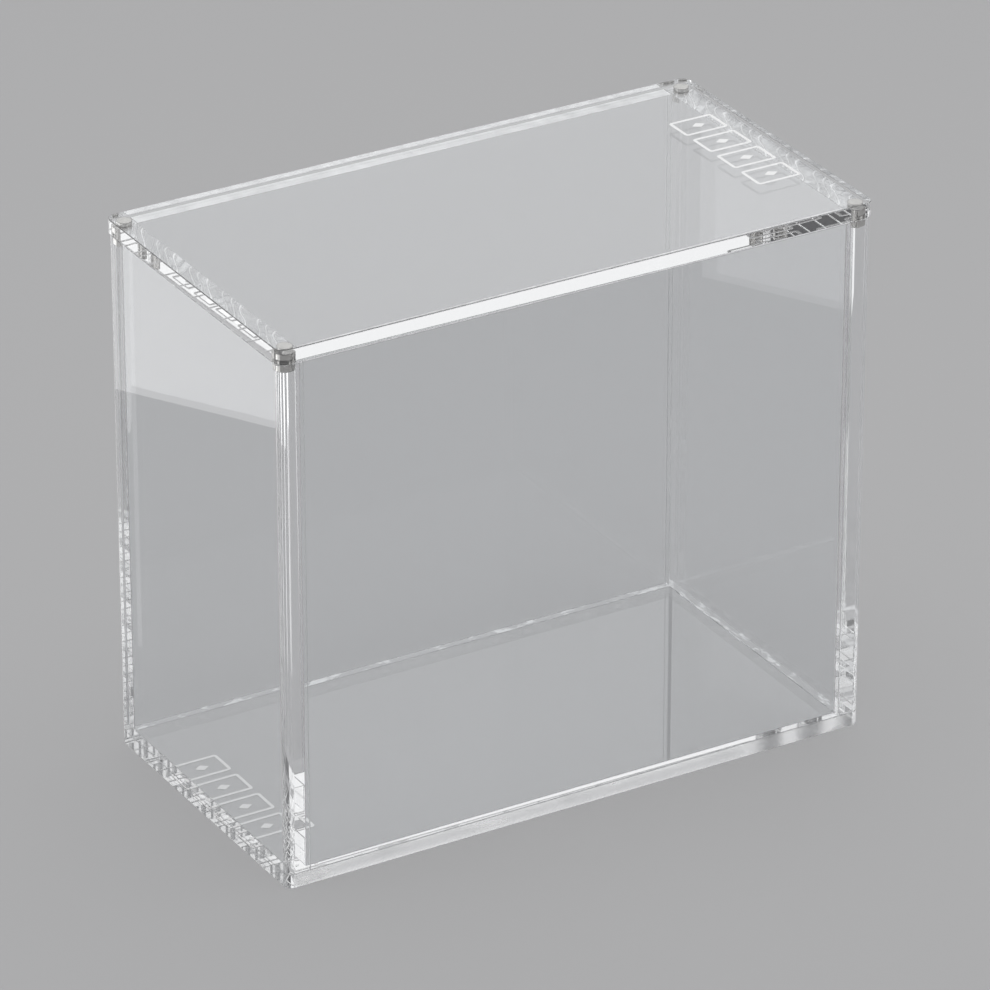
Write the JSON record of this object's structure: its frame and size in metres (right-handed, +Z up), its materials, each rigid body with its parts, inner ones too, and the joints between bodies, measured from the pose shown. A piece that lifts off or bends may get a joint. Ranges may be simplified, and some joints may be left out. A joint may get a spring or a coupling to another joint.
{
  "type": "trading card display case",
  "caption": "Clear rectangular acrylic display case for a boxed set of trading cards, with a loose flat lid held on by corner disc magnets.",
  "frame": {"origin": "middle of the underside of the case, on the surface it stands on", "axes": "+X along the long front towards its right end, +Y from the front to the back, +Z up through the lid"},
  "size_m": [0.21, 0.111, 0.184],
  "materials": {
    "clear_acrylic": "polished",
    "nickel_plate": "polished"
  },
  "bodies": {
    "case": {"base_plate": "clear_acrylic", "left_wall": "clear_acrylic", "right_wall": "clear_acrylic", "front_wall": "clear_acrylic", "back_wall": "clear_acrylic", "body_magnet_front_left": "nickel_plate", "body_magnet_front_right": "nickel_plate", "body_magnet_back_left": "nickel_plate", "body_magnet_back_right": "nickel_plate"},
    "lid": {"lid_plate": "clear_acrylic", "lid_magnet_front_left": "nickel_plate", "lid_magnet_front_right": "nickel_plate", "lid_magnet_back_left": "nickel_plate", "lid_magnet_back_right": "nickel_plate"}
  },
  "joints": [
    {"name": "lid_lift", "type": "slide", "parent": "case", "child": "lid", "axis": [0, 0, 1], "range_m": [0, 0.18]}
  ]
}
